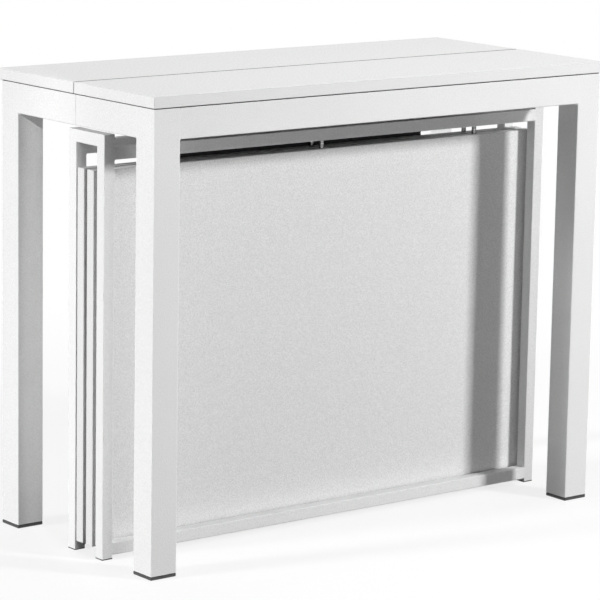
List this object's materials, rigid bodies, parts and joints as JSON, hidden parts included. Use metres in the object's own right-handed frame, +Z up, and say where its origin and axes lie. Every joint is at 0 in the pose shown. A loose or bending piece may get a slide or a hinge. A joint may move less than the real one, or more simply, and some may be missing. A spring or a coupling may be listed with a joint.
{
  "type": "extending console table",
  "caption": "White metal-framed console table whose top splits along the middle and opens on telescopic runners, with a free-standing tube rack below that stores its extension leaves on edge.",
  "frame": {"origin": "on the floor under the middle of the closed table", "axes": "+X along the table's long side, +Y from the front half to the rear half, +Z up"},
  "size_m": [0.92, 0.43, 0.75],
  "materials": {
    "white_frame": "satin powder coat",
    "white_board": "matt faced board with fine grain",
    "black_glide": "moulded",
    "white_plastic": "moulded",
    "dark_spacer": "matt",
    "runner_aluminium": "extruded, anodised",
    "zinc_steel": "zinc plated",
    "black_steel": "black passivated",
    "bright_steel": "ground",
    "grey_felt": "needled felt",
    "dark_backstop": "smooth"
  },
  "bodies": {
    "front_half": {"front_apron": "white_frame", "front_end_caps": "white_plastic", "front_left_end_apron": "white_frame", "front_left_leg": "white_frame", "front_leg_glides": "black_glide", "front_right_end_apron": "white_frame", "front_right_leg": "white_frame", "front_runner_plates": "zinc_steel", "front_runner_screws": "zinc_steel", "front_top_screws": "zinc_steel", "front_top_slab": "white_board", "front_top_spacers": "dark_spacer", "seam_dowels": "bright_steel", "left_runner_section_1": "runner_aluminium", "right_runner_section_1": "runner_aluminium"},
    "rear_half": {"rear_apron": "white_frame", "rear_end_caps": "white_plastic", "rear_left_end_apron": "white_frame", "rear_left_leg": "white_frame", "rear_leg_glides": "black_glide", "rear_right_end_apron": "white_frame", "rear_right_leg": "white_frame", "rear_runner_brackets": "zinc_steel", "rear_runner_screws": "zinc_steel", "rear_top_screws": "zinc_steel", "rear_top_slab": "white_board", "rear_top_spacers": "dark_spacer", "left_runner_section_7": "runner_aluminium", "right_runner_section_7": "runner_aluminium"},
    "runner_stage_2": {"left_runner_section_2": "runner_aluminium", "right_runner_section_2": "runner_aluminium"},
    "runner_stage_3": {"left_runner_section_3": "runner_aluminium", "right_runner_section_3": "runner_aluminium"},
    "runner_stage_4": {"left_runner_section_4": "runner_aluminium", "right_runner_section_4": "runner_aluminium"},
    "runner_stage_5": {"left_runner_section_5": "runner_aluminium", "right_runner_section_5": "runner_aluminium"},
    "runner_stage_6": {"left_runner_section_6": "runner_aluminium", "right_runner_section_6": "runner_aluminium"},
    "leaf_rack": {"rack_backstop": "dark_backstop", "rack_backstop_screws": "black_steel", "rack_cross_straps": "white_frame", "rack_feet": "black_glide", "rack_felt_pads": "grey_felt", "rack_front_bottom_bar": "white_frame", "rack_front_left_upright": "white_frame", "rack_front_right_upright": "white_frame", "rack_front_top_bar": "white_frame", "rack_left_end_bar": "white_frame", "rack_rear_bottom_bar": "white_frame", "rack_rear_left_upright": "white_frame", "rack_rear_right_upright": "white_frame", "rack_rear_top_bar": "white_frame", "rack_right_end_bar": "white_frame"},
    "rear_extension_leaf": {"rear_leaf": "white_board", "rear_leaf_dowels": "bright_steel"},
    "front_extension_leaf": {"front_leaf": "white_board", "front_leaf_dowels": "bright_steel"}
  },
  "joints": [
    {"name": "table_opening", "type": "slide", "parent": "front_half", "child": "rear_half", "axis": [0, 1, 0], "range_m": [0, 1.2]},
    {"name": "runner_stage_2_slide", "type": "slide", "parent": "front_half", "child": "runner_stage_2", "axis": [0, 1, 0], "range_m": [0, 0.2002]},
    {"name": "runner_stage_3_slide", "type": "slide", "parent": "front_half", "child": "runner_stage_3", "axis": [0, 1, 0], "range_m": [0, 0.4002]},
    {"name": "runner_stage_4_slide", "type": "slide", "parent": "front_half", "child": "runner_stage_4", "axis": [0, 1, 0], "range_m": [0, 0.6002]},
    {"name": "runner_stage_5_slide", "type": "slide", "parent": "front_half", "child": "runner_stage_5", "axis": [0, 1, 0], "range_m": [0, 0.8002]},
    {"name": "runner_stage_6_slide", "type": "slide", "parent": "front_half", "child": "runner_stage_6", "axis": [0, 1, 0], "range_m": [0, 1.0002]},
    {"name": "rack_pull_out", "type": "slide", "parent": "front_half", "child": "leaf_rack", "axis": [-1, 0, 0], "range_m": [0, 0.93]},
    {"name": "rear_leaf_slide", "type": "slide", "parent": "leaf_rack", "child": "rear_extension_leaf", "axis": [-1, 0, 0], "range_m": [0, 0.92]},
    {"name": "front_leaf_slide", "type": "slide", "parent": "leaf_rack", "child": "front_extension_leaf", "axis": [-1, 0, 0], "range_m": [0, 0.92]}
  ],
  "couplings": [
    {"joint": "runner_stage_2_slide", "follows": "table_opening", "ratio": 0.16667},
    {"joint": "runner_stage_3_slide", "follows": "table_opening", "ratio": 0.33333},
    {"joint": "runner_stage_4_slide", "follows": "table_opening", "ratio": 0.5},
    {"joint": "runner_stage_5_slide", "follows": "table_opening", "ratio": 0.66667},
    {"joint": "runner_stage_6_slide", "follows": "table_opening", "ratio": 0.83333}
  ]
}
